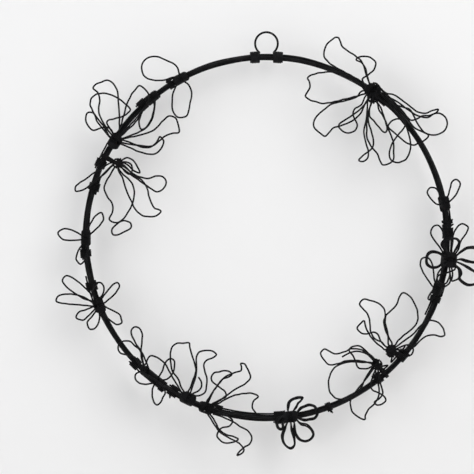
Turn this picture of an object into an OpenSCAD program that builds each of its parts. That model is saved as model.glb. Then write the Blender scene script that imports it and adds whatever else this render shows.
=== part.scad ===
// Wire wreath: a ring of bundled hoops with bent-wire flowers and leaf sprays lashed to it,
// and a hanging loop whose ends are wrapped round the ring. Millimetres, +Z up, front towards -Y.
// The origin is inside the top of the hanging loop, where a nail or hook carries it.

/* [Ring] */
// Diameter of the ring, measured at the middle of the bundle
ring_d = 250; // [230:5:270]
// Diameter of each hoop's wire
strand_d = 1.85; // [1.6:0.05:2]

/* [Hanging loop] */
// Diameter of the hanging loop, measured at the middle of its wire
loop_d = 15.7; // [14:0.1:18]
// Diameter of the hanging loop's wire
loop_wire_d = 1.3; // [1.1:0.1:1.4]
// Turns that each end of the loop makes round the ring
loop_turns = 5; // [4:1:6]

/* [Flowers] */
// Diameter of the wire that petals, leaves and stems are bent from
petal_wire_d = 1.2; // [0.8:0.1:1.2]
// Diameter of the binding wire
binding_wire_d = 1; // [0.8:0.1:1.1]
// Distance between the rings of facets along a bent wire
facet_step = 3.4; // [3.2:0.2:5]

/* [Hidden] */
SIDES = 6;              // facets round a bent wire
ROUND_FN = 48;          // steps round an exact circle
ring_r = ring_d / 2;
lay_r = strand_d / sqrt(2) + 0.02;         // from the middle of the bundle to each hoop's centre
bundle_r = lay_r + strand_d / 2;           // outside radius of the bundle
stem_off = bundle_r + petal_wire_d / 2 + 0.06;
layer_gap = petal_wire_d + 0.15;           // depth from one layer of petal roots to the next
root_r = 2.8;                              // petals end this far from their flower's axis
spray_root_r = 2;                          // and leaves this far from their knot's axis
turn_inset = 0.9;                          // a doubled petal's second turn lies this far inside it
foot_x = 4.6;                              // from the ring's top to the first turn of each wrap
foot_bite = 0.4;                           // the loop's ends reach this far into the wraps
wrap_len = loop_turns * loop_wire_d;
sag_near = ring_r - sqrt(ring_r * ring_r - foot_x * foot_x);
sag_far = ring_r - sqrt(ring_r * ring_r - (foot_x + wrap_len) * (foot_x + wrap_len));
pivot_drop = (sag_near + sag_far) / 2;     // the wraps' axis runs this far under the ring's top
wrap_r = bundle_r + (sag_far - sag_near) / 2 + 0.12;
loop_rise = wrap_r + loop_wire_d / 2 + sqrt(loop_d * loop_d / 4 - foot_x * foot_x);
pivot_z = -(loop_rise + loop_d / 2 - loop_wire_d / 2);
ring_z = pivot_z + pivot_drop - ring_r;    // height of the ring's centre

knot_turn_r = 0.8;                         // radius of the fat turns on a knot
knot_turns = [-2.25, -0.75, 0.75, 2.25];   // depth of each turn from the knot's middle
knot_shrink = 0.4;                         // the outermost turns are this much smaller
knot_core = 2.8;                           // half the depth of a knot's solid middle
stem_root = 1.8;                           // a stem leaves its knot this far beside the axis
stem_dip = 2.7;                            // and this far behind the knot's middle
stem_drop = 0.55;                          // share of its depth left halfway to the ring
stem_pitch = 2;                            // degrees between a stem's points along the ring
near_ring = 4;                             // a knot nearer than this sits over the ring itself
wind_gap = 0.16;                           // clearance between a winding and the bundle
wind_pitch = 0.96;                         // share of a wire's diameter from turn to turn
wind_lift = 0.06;                          // turns stand this far out of their sleeve's inside
sleeve = 0.6;                              // thickness of a winding's sleeve, in wire diameters

// Columns of a flower's row
NAME = 0;
ANGLE = 1;
OFFSET = 2;
DEPTH = 3;
KNOT = 4;
STEM = 5;
LASH = 6;
PETALS = 7;
TAILS = 8;

// Each flower: name, angle on the ring in degrees, distance outside the ring, depth of its knot in
// front of the ring, knot radius, stem [start, end, side], lashing [angle, turns, side], petals, tails.
// A side is 1 outside the ring, -1 inside it and 0 both. A petal or tail is
// [layer of its roots, lift of its tip, skew between its edges, outline from the knot's axis],
// and a petal bent twice round ends with the layer of its second turn.
FLOWERS = [
    ["flower_1", 54, 0, 6, 4.9, [52, 42, 1], [49.8, 7, 1], [
        [1, 7, 2, [[-2.6, 6.3], [-5, 12], [-6.3, 17.5], [-9, 21.5], [-14, 25.3], [-18.5, 28.3], [-21.5, 31],
            [-23, 34.5], [-23.8, 36.6], [-26, 36.8], [-30, 34], [-33, 30], [-34, 26], [-33, 22.5],
            [-29.5, 19], [-25, 16], [-16, 11.3], [-8, 6.5], [-4.8, 3.4]]],
        [0, 3, 1.5, [[-2.5, 6], [-4, 11], [-5.5, 16.5], [-8, 19.8], [-11.5, 21.6], [-10, 23.3],
            [-5.5, 24], [-1.5, 23.2], [1.8, 20], [1.2, 15.5], [-3, 11.5], [-7, 8.5], [-6, 5]]],
        [0, 8, 0, [[-5.5, 1], [-12, 7.3], [-20, 11.7], [-27, 13.3], [-33, 13], [-39, 12], [-43, 10.7],
            [-45, 9.2], [-44.1, 6.5], [-43.6, 2.5], [-45, -0.5], [-46.8, -3.3], [-45.5, -4.9],
            [-41, -7], [-35, -8.6], [-29, -7.8], [-20, -5.8], [-11, -3.4], [-5.5, -1.8]]],
        [1, 5, 3, [[-5, 0.5], [-8.5, -0.5], [-11.5, -4.3], [-20, -6.9], [-28, -8.9], [-33, -12.3],
            [-38, -16.5], [-41, -21.5], [-40.5, -25.5], [-37, -28.5], [-33, -31.2], [-30, -28.3],
            [-27, -25.3], [-23, -24], [-17, -22], [-12, -19], [-8, -14.5], [-5, -8], [-3, -5]]],
        [2, 9, 3, [[-5, -3.2], [-8, -9.5], [-12.8, -12.5], [-14, -16], [-12.5, -19.8], [-11, -23.5],
            [-12.5, -27.2], [-16.5, -29.1], [-20.5, -28], [-23.8, -24.6], [-23, -22.5],
            [-17, -18.6], [-10.5, -14], [-6, -9.5], [-2.8, -5.6]]],
        [3, 7, 2, [[-3.4, -5], [-4, -12], [-4.8, -20], [-6.4, -28], [-5.3, -35], [-3.4, -42],
            [-3.9, -46.3], [-7, -48.8], [-9.9, -48], [-7.5, -45], [-3, -41.7], [-0.2, -38.5],
            [0.2, -34], [-1.3, -27.5], [-3.2, -21], [-3, -14], [-0.3, -6.5]]],
        [0, 3, 0, [[2, -5.6], [5.5, -11.5], [8, -19], [11, -27], [14, -35], [14.6, -42], [13.5, -48],
            [10, -50.5], [6.8, -51], [5.3, -48.5], [3, -43.5], [-1.5, -37.5], [-4, -32],
            [-4.4, -25], [-3.2, -17], [-2, -10.5], [-1, -6]]],
        [1, 4, 0, [[2.6, -5.6], [4, -12], [6.5, -16.5], [8.8, -21.5], [9.9, -26], [8.6, -28.6],
            [5.5, -26.5], [1, -21.3], [-2.3, -16.5], [-2, -11], [-0.6, -6.4]]],
        [2, 11, 2, [[3.8, -4.8], [9.5, -9.5], [17, -16], [22, -22.5], [20, -27], [16.5, -31.3], [13, -36.3],
            [11, -42.5], [12.3, -47.7], [16.5, -49.5], [22, -47.5], [25.2, -42.5], [25.6, -36],
            [24.5, -29.5], [22.8, -24], [19, -16.5], [12, -8.5], [5.6, -2.6]]],
        [0, 5, 0, [[6.2, -1], [13, -7.5], [21, -11], [25.5, -13], [28.5, -17.5], [31, -22.5],
            [34.5, -28], [38.5, -30.6], [36, -33.6], [32, -36], [28, -37.4], [24, -36],
            [19, -32.4], [14, -28.4], [10.7, -24.3], [12.5, -21], [17, -19.3], [21.5, -20.3],
            [19.5, -16], [11, -9.5], [4.6, -4.2]]],
        [2, 14, 1, [[3, 4.5], [6.5, 0], [10, -2], [13.5, -2.4], [20, -6.8], [27, -12.2], [31, -15],
            [36, -15.6], [41, -13.6], [44.6, -12.9], [43.5, -15], [39.5, -17], [34, -17.3],
            [30, -19.3], [26, -20.3], [20, -13.5], [12, -5], [6.2, 0.6]]],
        [1, 8, 0, [[5, 2], [10, -3.3], [18, -8.3], [25, -13.4], [30, -16.9], [38, -18.2],
            [42, -15.8], [46, -15.7], [49.8, -18.3], [51.2, -22.5], [49.5, -27], [45, -30],
            [40, -30.2], [34, -28.2], [29, -25.7], [24, -19.5], [16, -11.5], [8, -3.5]]]
    ], []],
    ["flower_2", -7, 3, 5.9, 4.4, [-4, 2.8, 1], [1.4, 6, 1], [
        [2, 2, 0, [[-1.5, 4], [-4.6, 7.5], [-6.4, 11], [-4, 14], [0, 15.2], [4.5, 15], [6.5, 12.2],
            [4.8, 8.5], [2, 4.5]], 3],
        [2, 2.5, 0, [[-4, 2], [-7, 4.8], [-12, 6.2], [-15.6, 4.8], [-17.2, 0.8], [-16.6, -3], [-13, -5.5],
            [-9, -5.2], [-4.3, -1.2]], 3],
        [1, 2, 0, [[3.5, 2.5], [7, 6], [11.5, 8.8], [17, 9], [22, 7], [24.5, 3], [22, -0.5],
            [16, -1.8], [10.5, -1], [6.5, 0.5], [4, 0]], 2],
        [0, 2, 0, [[4.2, -1.2], [9, -3], [14, -5.8], [18, -8.5], [21.5, -12], [18.5, -16], [13, -17.6],
            [8.8, -16], [5.8, -13], [6.6, -9.5], [6.2, -6], [3, -3]], 3],
        [1, 4, 1.2, [[-0.8, -4.6], [-0.5, -8], [-0.1, -12.5], [-0.5, -15.8], [-3.5, -18], [-7.5, -17.8],
            [-9.8, -14.5], [-8.5, -11], [-5, -9.5], [0, -7.8], [3, -6.4], [3.2, -4.2]]],
        [3, 4, 0, [[-0.8, -4.6], [-0.6, -9.5], [-1.8, -14], [-3.2, -16], [-6.5, -16.3], [-9, -14],
            [-9, -9.5], [-6.5, -6], [-3.2, -3.2]]],
        [2, 2, 0, [[0.6, -4.4], [1.4, -8.5], [0.8, -14.4], [3, -14], [5.6, -12.6], [5.9, -8.5],
            [5.2, -6], [2.6, -3.8]]],
        [0, 3, 0, [[-3.5, 3], [-7.5, 9], [-11.5, 14.5], [-13.6, 18.8], [-12, 23], [-8.5, 24],
            [-5.5, 20.5], [-4, 12], [-1.5, 4]]],
        [0, 3, 0, [[0.8, 4], [1.5, 10], [1.8, 17], [4.5, 22.5], [8.5, 25.1], [11.9, 22.6], [11, 18.6],
            [8, 14.4], [6, 9], [3, 3.5]]]
    ], []],
    ["flower_3", -42, -9, 5, 3.7, [-45, -38, -1], [-40.5, 5, -1], [
        [1, 6, -1, [[-2, 4], [-2.2, 8.5], [-4.5, 15], [-5.2, 19], [-4.2, 23.5], [-5.5, 28.8],
            [-9, 32.2], [-15, 34.4], [-19.5, 34.8], [-22, 32], [-20, 28.8], [-16.5, 25], [-15, 18.5],
            [-14, 12], [-11.5, 7.8], [-6.5, 5], [-4, 2.5]]],
        [2, 5, 0, [[0.5, 4.5], [-1.5, 8.5], [-3.2, 14], [-4.3, 20], [-3.6, 23.6], [0, 27.5],
            [4, 32.3], [6, 37.5], [8.5, 39.5], [12.5, 37], [16, 32], [18, 26.5], [17.8, 20],
            [15, 15], [9, 10.5], [4.5, 6.3], [3, 3.6]]],
        [0, 3, -1.5, [[-4, 2.5], [-7, 6], [-9.2, 10.5], [-12.5, 12], [-17, 11], [-21, 12], [-23.6, 15],
            [-21, 18.5], [-18.8, 20.1], [-17.5, 16], [-15, 10], [-11.5, 5.8], [-7, 2.5], [-4.5, 0]]],
        [1, 6, -1, [[4.5, 0], [9, 0], [15, 1.8], [19.5, 6], [24, 9.5], [29, 10.2], [34.5, 9.2],
            [37, 10.5], [36, 14.5], [32, 18.7], [26.5, 20.5], [21, 17.5], [14, 10], [7, 5],
            [4, 2.5]]],
        [2, 3, 0, [[4, -1.5], [7.5, -3.8], [11, -4.4], [14, -2.8], [15.2, 0.5], [13, 3], [8, 2.6],
            [4, 0.8]]]
    ], []],
    ["flower_4", -49, -8.5, 5, 3.9, [-46.5, -53, -1], [-51.5, 5, -1], [
        [1, 4, -1, [[-3, 3.5], [-6, 6.5], [-10, 10], [-14.5, 11], [-18, 11], [-22.5, 9], [-28.5, 7.5],
            [-32, 8.7], [-36, 10.8], [-39, 8.5], [-37.5, 4.5], [-33.5, 0.2], [-28, 0.5], [-21.5, 2.7],
            [-15, 3], [-8.5, 2.2], [-4.5, 1]]],
        [2, 3, 0, [[-2, 4], [-6, 8], [-11, 12.3], [-15.5, 13], [-19.5, 10.5], [-17, 6.8], [-15.2, 3],
            [-13.8, -1], [-11.5, -2.6], [-6, -2.3], [-4, -1.3]]],
        [0, 4, 0, [[-4.5, 1.5], [-10, 1.6], [-18, 2], [-25, 0.5], [-30, -2.5], [-32.5, -7.5],
            [-33.7, -13], [-32.5, -19], [-28.5, -23], [-23.5, -23.8], [-17, -20.8], [-11.5, -16.5],
            [-8.5, -10], [-5.5, -5.5], [-3.5, -2.5]]],
        [1, 3, -2, [[-1, -4.5], [0.5, -10], [1.3, -16], [1, -22], [-1.5, -26.5], [-6, -31],
            [-8.2, -35], [-8.5, -37.8], [-12.5, -36.3], [-17, -32.5], [-18.6, -28], [-17.8, -23],
            [-12, -15], [-7, -9], [-3.5, -4]]],
        [2, 5, 2, [[-1.5, -4.5], [-3.5, -9], [-4.8, -14.5], [-3, -17.5], [0, -19], [4, -21],
            [5.7, -24.5], [3.5, -26.7], [0, -27.8], [-1.8, -26], [1, -23.5], [3.8, -19.5], [3, -15],
            [1.5, -9], [0.8, -5]]]
    ], [
        [3, 5, 0, [[-1, 3.5], [-5, 6], [-9, 8.5], [-14, 9.3], [-18, 8.8], [-21.3, 7.3], [-24.4, 5.5]]]
    ]],
    ["flower_5", -82.5, 0, 5.9, 3.7, [-84.5, -87.9, 1], [-85.8, 7, 0], [
        [1, 2.5, 0, [[-1.5, 4], [-1.7, 7], [-0.9, 10.4], [2, 12.9], [5.5, 13.8], [8.8, 13.4], [7.8, 11.4],
            [6, 9.4], [4.6, 6.8], [2.5, 4.5]], 2],
        [1, 2, 0, [[4, 2], [6.5, 5.8], [10, 7.8], [13.5, 8.7], [16.6, 8], [18.5, 5.6], [19.2, 2.4],
            [17.6, -0.8], [14, -2], [10.5, -2.5], [7, -1.8], [4, -0.4]], 2],
        [0, 2, 0, [[4, -1.5], [7, -4.4], [11.5, -5.3], [14.8, -7.8], [16.3, -11.8], [14.8, -15.4],
            [11, -17.2], [7.2, -16.2], [4.3, -13.4], [2.5, -9.6], [2.8, -4]], 3],
        [1, 3, 0, [[-2, -4], [-4.2, -8], [-5.9, -12.8], [-5, -17.3], [-2.6, -20.4], [0.5, -22],
            [2.8, -20.4], [3.2, -16], [2.4, -11], [1, -7], [0.5, -4.5]], 3],
        [2, 2, 0, [[-4.2, 0.4], [-8.4, -0.8], [-9.6, -4.2], [-8.6, -7.8], [-6, -8.8], [-4.8, -7],
            [-4.6, -4.4], [-3.4, -2.6]], 3]
    ], []],
    ["flower_6", -109.5, 0, 5.9, 3.7, [-107, -84.6, -1], [-105.5, 5, -1], [
        [1, 6, -1, [[1.5, 4], [4.5, 10.5], [8, 16], [13, 21.5], [19, 24.3], [24, 26], [24.6, 28.6],
            [24, 31], [26.4, 30.6], [29.2, 26], [30.3, 20.5], [27, 17], [20, 13], [14, 8.7],
            [8, 4.3], [4, 2]]],
        [3, 5, 1.2, [[4, 2.8], [9, 5.5], [13.5, 8.5], [13, 11.5], [8, 15.7], [3.7, 19], [4, 23],
            [9, 25.2], [15, 25.8], [17.5, 23.3], [11, 19.2], [6, 13.5], [2.5, 7.5], [0.5, 4.5]]],
        [0, 4, 0, [[4.5, 1.2], [9, 3.5], [15, 6.8], [22, 9.5], [29, 10.2], [34, 9.3], [36, 8],
            [33, 5], [31.8, 0.5], [33.5, -3], [35, -4.9], [27, -4.6], [17, -4], [11, -2.8],
            [7, -1.5], [4.3, -1]]],
        [0, 5, 3, [[1.2, -4.5], [4, -8.5], [9, -16], [14, -19.5], [20, -22.5], [24, -25.3],
            [26, -28.5], [25, -31], [21.5, -32.5], [25.5, -27.5], [30, -24.8], [31.7, -21],
            [29.5, -16.5], [23, -12.5], [18.5, -9.5], [10.5, -6], [3.6, -3]]],
        [3, 5, 2, [[2.5, -4], [6, -8.5], [9, -14.5], [13, -17.8], [19, -19.2], [22, -21],
            [20, -23], [14.5, -24], [10.5, -22.5], [7.5, -18.5], [10.5, -14], [16.5, -11.8],
            [18.3, -8.5], [11, -4], [4.2, -2.5]]]
    ], []],
    ["flower_7", -116, -1.5, 5.9, 3.9, [-118, -123.4, -1], [-121.3, 6, -1], [
        [1, 4, 0, [[-2.5, 4], [-4.6, 7], [-7, 13.5], [-11, 19.2], [-12, 25], [-12.3, 31],
            [-11.2, 35.3], [-8, 37.5], [-3, 38], [0.5, 38.6], [1.2, 35], [3, 28.5], [4.8, 23],
            [5.2, 18], [3.5, 12.5], [1.5, 7.5], [0, 4.5]]],
        [3, 5, 0, [[1.8, 4.3], [3.8, 10.5], [5.6, 17], [5.8, 24], [5.8, 29], [8, 32.2], [13, 33.1],
            [17.5, 32.4], [19.5, 30.3], [17, 28], [13, 26.5], [10.9, 23.5], [11.5, 19],
            [12.9, 13.5], [12.8, 8.5], [11.5, 4], [8, 2], [4.5, 1.5]]],
        [2, 9, 0, [[-4, 3.5], [-9, 11.5], [-13, 19], [-16.2, 24.1], [-20.2, 27.8], [-24.2, 29.5],
            [-26.7, 29], [-29.2, 24.2], [-32.2, 19.7], [-24, 13.5], [-14, 7], [-4.8, 1.2]]]
    ], [
        [0, 3, 0, [[3.5, 3.2], [7, 5], [9, 8], [9, 11.3], [7.1, 14.6]]]
    ]],
    ["flower_8", 202, 0, 5.9, 3.6, [199, 192, 1], [195.5, 6, 1], [
        [1, 5, 0, [[-1.5, 4], [-8, 10.5], [-16, 17.8], [-22, 20.3], [-25, 17.3], [-21, 11.8],
            [-12, 5.5], [-3.5, 2.5]]],
        [0, 4, 0, [[-4, 1.6], [-12, 6.3], [-21, 7.8], [-28, 6.3], [-29, 2.8], [-22, 1],
            [-13, 0.3], [-4.3, -0.6]]],
        [2, 2, 0, [[-4, -1], [-7.5, -2.6], [-14, -5], [-15.6, -8.2], [-11, -10.2], [-7, -7.2],
            [-3.2, -3.2]]],
        [0, 3, 0, [[-2, -4], [-5, -8], [-8.1, -12.2], [-6, -16.7], [-2, -15.2], [0.5, -9.2],
            [0, -4.3]]],
        [0, 3, 0, [[-2.8, 3.5], [-4, 8.8], [-2.8, 14.3], [1, 15.8], [3.6, 12.8], [2.6, 7.8],
            [0.4, 4.3]]],
        [1, 3, 0, [[1.6, 4], [5.9, 9.8], [8.9, 13.3], [12.9, 15.8], [14.4, 13.8], [11.9, 8.8],
            [7.9, 4.8], [4, 1.8]]],
        [1, 3, 0, [[4, -0.6], [8.5, -3], [14.5, -7], [16, -12], [12, -13], [6, -9], [1.6, -4]]]
    ], []],
    ["flower_9", 147.5, -1, 5.9, 4.1, [150.5, 158, 1], [156, 5, 1], [
        [2, 4, 1, [[0.3, 4.6], [3, 8], [3, 13], [2.8, 19.5], [2.5, 26.5], [1.5, 34], [-1.5, 40],
            [-5, 42], [-9.5, 40.5], [-13.5, 39], [-15, 36.5], [-11.8, 33.5], [-10.7, 28.5],
            [-11.4, 22.5], [-10, 16.5], [-6.5, 9.5], [-2.5, 4.5]]],
        [3, 7, 0, [[-4, 3.5], [-8, 10.4], [-12.4, 16], [-15.5, 21], [-17.2, 26], [-14.4, 31],
            [-7.4, 32.9], [0, 30.5], [6, 26.5], [10.5, 21.4], [7, 17.5], [0, 15.5], [-5.5, 13.5],
            [-3.5, 8.5], [-1, 4.8]]],
        [0, 3, -1.2, [[-1.5, 4.5], [-3, 8], [-6, 9.8], [-10.5, 8.5], [-15, 7.4], [-18, 9.5],
            [-20.2, 14], [-18.5, 19.5], [-15.3, 19.5], [-12.8, 14], [-10, 10.5], [-6.5, 6],
            [-4, 2.8]]],
        [1, 5, 0, [[1.5, 4.7], [4.5, 12], [6.5, 20.5], [8.6, 26], [12, 33], [17, 38.2], [21, 35.5],
            [23.5, 30], [20, 22], [14, 13], [8, 7], [3.6, 3.2]]],
        [0, 4, 0, [[4.5, 1.2], [10, 2.8], [17, 4], [24, 6.3], [28.6, 9.3], [33, 13.8], [37.5, 17.4],
            [41.5, 16.2], [43.5, 11.5], [44, 6], [40, 5.6], [35.5, 4], [30.5, 0], [25.5, -3.2],
            [17, -3.2], [9, -1.8], [4.5, -1]]],
        [1, 4, 0, [[4, -2], [9, -4], [15, -6.8], [22, -8.8], [27.5, -8.8], [32, -5.2], [33.3, 0.2],
            [31, 3], [28.6, -1], [25, -4], [20, -4.5], [14, -2.5], [9, -0.5], [4.5, 0.8]]],
        [2, 9, 0, [[4.3, 1.5], [10, 3.5], [16.5, 6], [21.5, 9], [25, 13.5], [27, 20.5], [27.5, 27.5],
            [22, 23.5], [16, 17], [10, 10.5], [3.2, 3.8]]]
    ], []],
    ["flower_10", 153.5, -10, 5, 3.7, [160, 166, -1], [163.5, 5, -1], [
        [1, 3, 0, [[3.5, 2.5], [6.5, 3.8], [10.5, 2.2], [13.5, -2], [15.3, -6.7], [11, -5],
            [7.5, -1.5], [4.3, 0.3]]],
        [0, 2, 0, [[4.2, 1], [7, 0.6], [9.8, -1.5], [10, -5], [8.2, -7.5], [5.5, -6], [3, -3]]],
        [1, 5, 3, [[-2.5, -3.5], [-6, -9.5], [-9.2, -17], [-7, -22.5], [-3.5, -29], [-3.5, -34],
            [-5.5, -38.5], [-0.5, -41.5], [5, -39.5], [9, -41], [9.3, -44.5], [4, -48], [-3, -49],
            [-4, -46], [1.5, -40.5], [6.5, -35], [10.5, -27], [11.4, -18.5], [8, -11.5],
            [3.5, -7], [1, -4.3]]],
        [0, 4, 0, [[-4, -2], [-9, -7], [-17, -13.5], [-24, -18.3], [-29, -19.5], [-28.5, -15.5],
            [-20, -9.5], [-10, -2.5], [-4.5, 0.3]]],
        [2, 3, 0, [[4.2, -1.2], [8.5, -5.5], [14, -9], [20.5, -10.5], [27, -8.8], [31.5, -9.5],
            [33.7, -13], [31.5, -17.5], [27.5, -19.8], [23, -17.5], [18, -14], [11.5, -9.5],
            [6, -5.5], [3, -3.2]]],
        [3, 5, 0, [[3.8, -2], [10, -7], [17, -12], [21, -19], [23, -26.5], [25.5, -31], [30, -33],
            [28, -35.8], [23, -37], [17, -36], [12, -31], [7.5, -22], [4, -12], [0.5, -4.4]]]
    ], []]
];

// Each group of a leaf spray, in the same form as a flower, with its smaller knot of binding wire
SPRAYS = [
    ["spray_right", 10.8, 1, 5.3, 2.8, [9, 4.6, 1], [5, 2, 1], [
        [0, 2, 0, [[-2.8, -0.6], [-6, -0.6], [-10, 3], [-12.5, 7.5], [-10.8, 10.7], [-7, 10.5],
            [-4, 6.5], [-1.8, 2.4]]],
        [1, 2, 0, [[0.6, 2.8], [2, 6], [3.2, 11], [4.7, 15.3], [7.4, 16.5], [10, 13.5], [8.4, 8.5],
            [5.4, 3.8], [2.6, 1.2]]]
    ], []],
    ["spray_right", -16.8, -2, 5.3, 2.8, [-18.5, -26, -1], [-20, 3, -1], [
        [1, 3, 0, [[-2.6, 1.4], [-6, 6], [-9.5, 11.5], [-11.5, 17], [-10.5, 21], [-7, 21.9],
            [-4, 19], [-2.5, 13], [-1.8, 6.5], [-0.4, 2.8]]],
        [0, 1, 0, [[-2.7, -1], [-5, -4], [-6, -7], [-4, -7.6], [-1.8, -4.8], [-0.6, -2.8]]]
    ], []],
    ["spray_lower_left", -131, 0, 5.3, 2.8, [-133, -138, 1], [-136, 5, 1], [
        [3, 3, 1.2, [[-1.4, 2.6], [-3.5, 7.5], [-4.6, 13.5], [-4.1, 21], [-4, 28], [-5.5, 31.6],
            [-8.5, 32.8], [-11.5, 30], [-10.8, 26], [-8, 21], [-5.3, 17], [-3, 12.5], [-0.6, 7],
            [0.9, 2.8]]],
        [1, 3, 0, [[-1, 2.8], [-3, 6.5], [-3.8, 11.5], [-5.5, 16.5], [-9, 19.7], [-12.5, 22.5],
            [-16, 23], [-19.5, 21.2], [-20.5, 17.3], [-18.5, 14.3], [-14, 13], [-9, 11.5],
            [-6.5, 7.5], [-2.8, 1.2]]]
    ], []],
    ["spray_lower_left", -127.5, 0, 5.3, 2.8, [-126, -123.8, 1], [-124.9, 3, 1], [
        [2, 6, 0, [[-2.6, 1.4], [-7, 4], [-11, 6.5], [-14.5, 4.5], [-14.3, 1], [-11, -1.5],
            [-6, -2], [-2.6, -1.4]]],
        [0, 2, 0, [[1.5, 2.5], [3.5, 6], [5.5, 11.5], [8, 14.5], [10.5, 15.3], [12.3, 14],
            [12.2, 9.5], [10.5, 4], [7, 1], [2.9, 0.6]]],
        [1, 3, 0, [[-1.5, -2.5], [-3, -7.5], [-2.3, -12.5], [0, -16.5], [2.8, -15], [4.5, -11.5],
            [6, -7.5], [4.5, -3.5], [2.4, -1.7]]]
    ], []],
    ["spray_left", 180, 0, 5.3, 2.8, [182, 187, 1], [185, 5, 1], [
        [1, 3, 0, [[-2.6, 1.4], [-9, 5], [-15, 6], [-19, 3], [-16, -1], [-9, -2], [-2.6, -1.4]]],
        [0, 3, 0, [[0.6, 2.8], [2.5, 8], [6.5, 14.5], [11, 17], [12.3, 13], [8.5, 7], [2.5, 1.8]]],
        [0, 3, 0, [[-1, -2.8], [-5, -9], [-6.5, -15], [-3.5, -18.5], [0, -14.5], [1.5, -8],
            [1, -2.8]]]
    ], []],
    ["spray_upper_left", 118.3, 0, 5.3, 2.8, [119.5, 123, 1], [122, 3, 1], [
        [1, 4, 1, [[-1, 2.8], [-2, 6.5], [-3.8, 9], [-7, 11], [-12, 13.2], [-17, 15], [-21.5, 14.5],
            [-25, 12], [-27, 7.5], [-26, 2.5], [-23, -0.2], [-18, -1.4], [-12, -1.3], [-7, 0.3],
            [-2.8, 0.8]]],
        [0, 4, 0, [[-1.6, -2.4], [-4, -7], [-5.5, -11], [-6, -16], [-5.8, -21], [-4.5, -24.5],
            [-2, -26.8], [1, -27.2], [4, -26], [5.5, -22.5], [6.5, -17], [7.5, -12], [7, -8],
            [5, -4], [2.2, -2]]]
    ], []],
    ["spray_upper_left", 129.3, 0, 5.3, 2.8, [131, 135, 1], [133, 5, 1], [
        [1, 2, 0, [[1, -2.8], [1.8, -6], [0.5, -12], [-1.5, -17], [-4, -20.5], [-7.2, -21.5],
            [-9, -17.5], [-7.5, -11.5], [-4.5, -6], [-1.6, -2.6]]]
    ], []]
];

SPRAY_NAMES = ["spray_right", "spray_lower_left", "spray_left", "spray_upper_left"];

// The short bindings between flowers: angle on the ring and turns
RING_TIES = [[-69.8, 3], [3.6, 3]];

// ---- Curves ----

// Unit vector along v
function unit(v) = v / norm(v);

// One point of the centripetal spline through p1 and p2, at t from 0 to 1
function spline_point(p0, p1, p2, p3, t) =
    let (a = sqrt(norm(p1 - p0)), b = sqrt(norm(p2 - p1)), c = sqrt(norm(p3 - p2)),
        m1 = p2 - p1 + b * ((p1 - p0) / a - (p2 - p0) / (a + b)),
        m2 = p2 - p1 + b * ((p3 - p2) / c - (p3 - p1) / (b + c)))
    (2 * (p1 - p2) + m1 + m2) * t * t * t + (3 * (p2 - p1) - 2 * m1 - m2) * t * t + m1 * t + p1;

// The smooth curve through the points, in steps of about facet_step
function smooth(points) =
    let (last = len(points) - 1)
    [for (i = [0:last - 1])
        let (p0 = i > 0 ? points[i - 1] : 2 * points[0] - points[1],
            p3 = i + 2 <= last ? points[i + 2] : 2 * points[last] - points[last - 1],
            steps = max(1, round(norm(points[i + 1] - points[i]) / facet_step)))
        for (k = [0:steps - 1])
            spline_point(p0, points[i], points[i + 1], p3, k / steps),
    points[last]];

// Direction of the curve at each of its points
function directions(path) =
    let (last = len(path) - 1)
    [for (i = [0:last]) unit(path[min(i + 1, last)] - path[max(i - 1, 0)])];

// A side vector for each point, turned as little as possible from one to the next
function side_vectors(along) =
    let (n = len(along), first = abs(along[0].y) < 0.9 ? [0, 1, 0] : [1, 0, 0])
    [for (i = 0, side = unit(cross(along[0], first)); i < n;
        i = i + 1, side = i < n ? unit(side - (side * along[i]) * along[i]) : side) side];

// The corners of a wire of diameter d swept along the path
function wire_points(path, d) =
    let (along = directions(path), sides = side_vectors(along))
    [for (i = [0:len(path) - 1], k = [0:SIDES - 1])
        path[i] + d / 2 * (cos(k * 360 / SIDES) * sides[i]
            + sin(k * 360 / SIDES) * cross(along[i], sides[i]))];

// The faces of a swept wire with n sections, whose corners start at number first
function wire_faces(n, first) = concat(
    [for (i = [0:n - 2], k = [0:SIDES - 1], half = [0:1])
        let (a = first + i * SIDES + k, b = first + i * SIDES + (k + 1) % SIDES)
        half == 0 ? [a, a + SIDES, b] : [b, a + SIDES, b + SIDES]],
    [[for (k = [0:SIDES - 1]) first + k]],
    [[for (k = [SIDES - 1:-1:0]) first + (n - 1) * SIDES + k]]);

// Number of corners in the wires before wire number i
function corners_before(paths, i) = i == 0 ? 0 : corners_before(paths, i - 1) + SIDES * len(paths[i - 1]);

// Bent wires of one diameter, each along its own path
module wires(paths, d) {
    polyhedron(
        points = [for (p = paths) each wire_points(p, d)],
        faces = [for (i = [0:len(paths) - 1]) each wire_faces(len(paths[i]), corners_before(paths, i))],
        convexity = 6);
}

// ---- Places on the ring ----

// The point at an angle on the ring, moved outwards by out and forwards by front
function on_ring(angle, out = 0, front = 0) =
    [(ring_r + out) * cos(angle), -front, ring_z + (ring_r + out) * sin(angle)];

// The axis point of a flower's knot
function hub(f) = on_ring(f[ANGLE], f[OFFSET], f[DEPTH]);

// The groups of one leaf spray
function groups(name) = [for (g = SPRAYS) if (g[NAME] == name) g];

// ---- Flowers and leaf sprays ----

// Depth of a petal's wire in front of its knot's middle, at share t of its length
function petal_depth(p, t) = (p[0] - 1) * layer_gap + p[1] * sin(180 * t) + p[2] * sin(360 * t);

// The second turn of a doubled petal: the same outline a little smaller, in another layer
function second_turn(p) =
    let (outline = p[3], last = len(outline) - 1, middle = [for (q = outline) 1] * outline / (last + 1))
    [p[4], p[1], p[2],
        [for (i = [0:last])
            outline[i] - (i > 0 && i < last ? turn_inset : 0) * unit(outline[i] - middle)]];

// All the turns of a flower's petals
function all_turns(f) = [for (p = f[PETALS]) each (len(p) > 4 ? [p, second_turn(p)] : [p])];

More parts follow.
